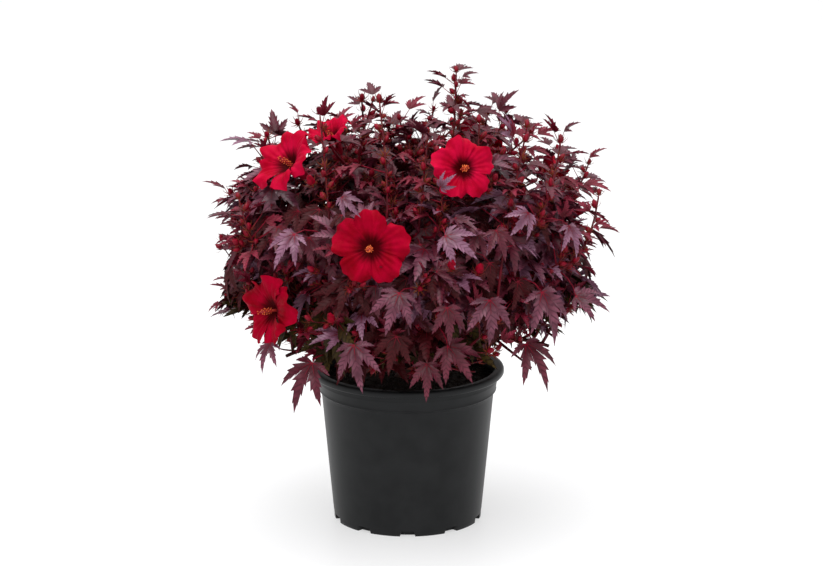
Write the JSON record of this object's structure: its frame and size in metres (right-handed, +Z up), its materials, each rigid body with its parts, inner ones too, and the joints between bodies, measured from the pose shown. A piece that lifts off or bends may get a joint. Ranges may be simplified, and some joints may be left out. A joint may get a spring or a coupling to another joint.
{
  "type": "potted hibiscus shrub",
  "caption": "Red-leaved hibiscus shrub in bloom, growing in a black nursery pot filled with soil; stands on the pot's flat underside",
  "frame": {"origin": "centre of the pot's flat underside", "axes": "+Z up along the pot's axis, -Y towards the front seen in the picture, +X to the right of the front"},
  "size_m": [0.5678, 0.555, 0.656],
  "materials": {
    "pot": "matte black moulded plastic",
    "soil": "moist dark potting mix",
    "stem": "brown bark",
    "bough": "dark red bark",
    "foliage": "dusky wine-purple leaves and crimson blossoms"
  },
  "bodies": {
    "root": {"pot": "pot", "soil": "soil", "main_stem": "stem", "bough_low_1": "bough", "bough_low_2": "bough", "bough_low_3": "bough", "bough_low_4": "bough", "bough_low_5": "bough", "bough_low_6": "bough", "bough_middle_1": "bough", "bough_middle_2": "bough", "bough_middle_3": "bough", "bough_middle_4": "bough", "bough_middle_5": "bough", "bough_top_1": "bough", "bough_top_2": "bough", "bough_top_3": "bough", "foliage_low_1": "foliage", "foliage_low_2": "foliage", "foliage_low_3": "foliage", "foliage_low_4": "foliage", "foliage_low_5": "foliage", "foliage_low_6": "foliage", "foliage_middle_1": "foliage", "foliage_middle_2": "foliage", "foliage_middle_3": "foliage", "foliage_middle_4": "foliage", "foliage_middle_5": "foliage", "foliage_top_1": "foliage", "foliage_top_2": "foliage", "foliage_top_3": "foliage"}
  },
  "joints": []
}
